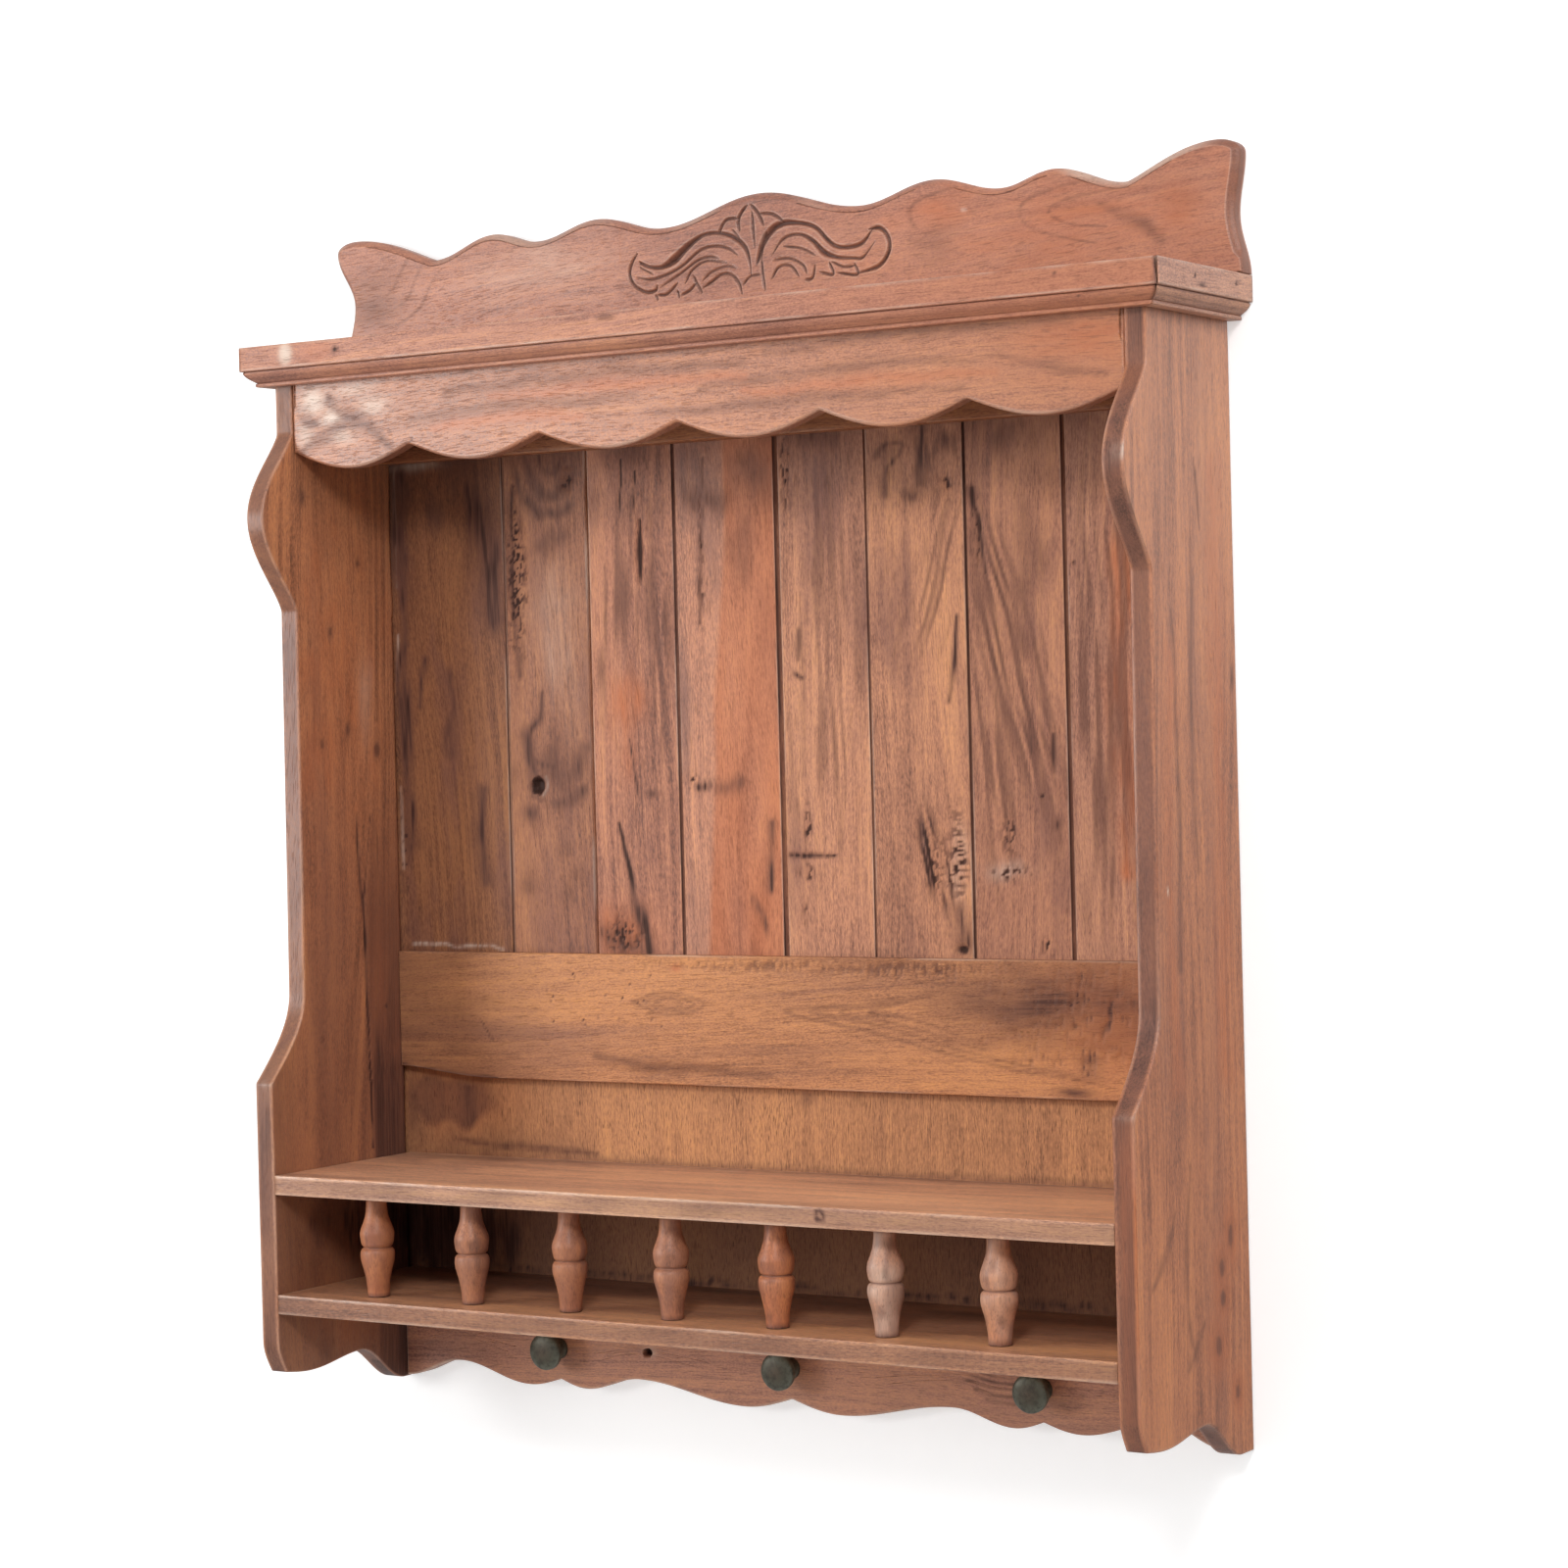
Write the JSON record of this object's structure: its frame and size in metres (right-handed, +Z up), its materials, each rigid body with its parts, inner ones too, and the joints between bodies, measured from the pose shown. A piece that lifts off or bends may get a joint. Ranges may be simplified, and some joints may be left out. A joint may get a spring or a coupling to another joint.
{
  "type": "kitchen wall shelf",
  "caption": "Hardwood kitchen wall shelf with shaped sides, boarded back, carved cresting, scalloped valance, shelves with turned spindles and a peg rail with knobs.",
  "frame": {"origin": "on the wall side of the back boards, on the middle line, level with the middle of the hanging rail", "axes": "+X to the right as seen from the front, +Y into the wall, +Z up"},
  "size_m": [0.8505, 0.182, 0.9677],
  "materials": {
    "hardwood": "waxed, semi-gloss, worn arrises",
    "board_hardwood": "waxed, satin, streaky grain",
    "plywood": "thin wax on an open-pored veneer",
    "turned_hardwood": "waxed, semi-gloss",
    "green_bronze": "dull olive green patina",
    "dark_steel": "dull, darkened"
  },
  "bodies": {
    "root": {"side_panel_left": "hardwood", "side_panel_right": "hardwood", "lower_shelf": "hardwood", "upper_shelf": "hardwood", "back_rail": "hardwood", "hanging_rail": "board_hardwood", "valance": "hardwood", "top_board": "hardwood", "cornice_front": "hardwood", "cornice_left": "hardwood", "cornice_right": "hardwood", "cresting": "hardwood", "peg_rail": "hardwood", "back_board_1": "board_hardwood", "back_board_2": "board_hardwood", "back_board_3": "board_hardwood", "back_board_4": "board_hardwood", "back_board_5": "board_hardwood", "back_board_6": "board_hardwood", "back_board_7": "board_hardwood", "back_board_8": "board_hardwood", "plywood_back": "plywood", "spindle_1": "turned_hardwood", "spindle_2": "turned_hardwood", "spindle_3": "turned_hardwood", "spindle_4": "turned_hardwood", "spindle_5": "turned_hardwood", "spindle_6": "turned_hardwood", "spindle_7": "turned_hardwood", "knob_1": "green_bronze", "knob_screw_1": "dark_steel", "cornice_nail_front_1": "dark_steel", "cresting_screw_1": "dark_steel", "knob_2": "green_bronze", "knob_screw_2": "dark_steel", "cornice_nail_front_2": "dark_steel", "cresting_screw_2": "dark_steel", "knob_3": "green_bronze", "knob_screw_3": "dark_steel", "cornice_nail_front_3": "dark_steel", "cresting_screw_3": "dark_steel", "cornice_nail_left_1": "dark_steel", "top_screw_left_1": "dark_steel", "hanger_screw_left_1": "dark_steel", "cornice_nail_left_2": "dark_steel", "top_screw_left_2": "dark_steel", "hanger_screw_left_2": "dark_steel", "hanger_plate_left": "dark_steel", "cornice_nail_right_1": "dark_steel", "top_screw_right_1": "dark_steel", "hanger_screw_right_1": "dark_steel", "cornice_nail_right_2": "dark_steel", "top_screw_right_2": "dark_steel", "hanger_screw_right_2": "dark_steel", "hanger_plate_right": "dark_steel"}
  },
  "joints": []
}
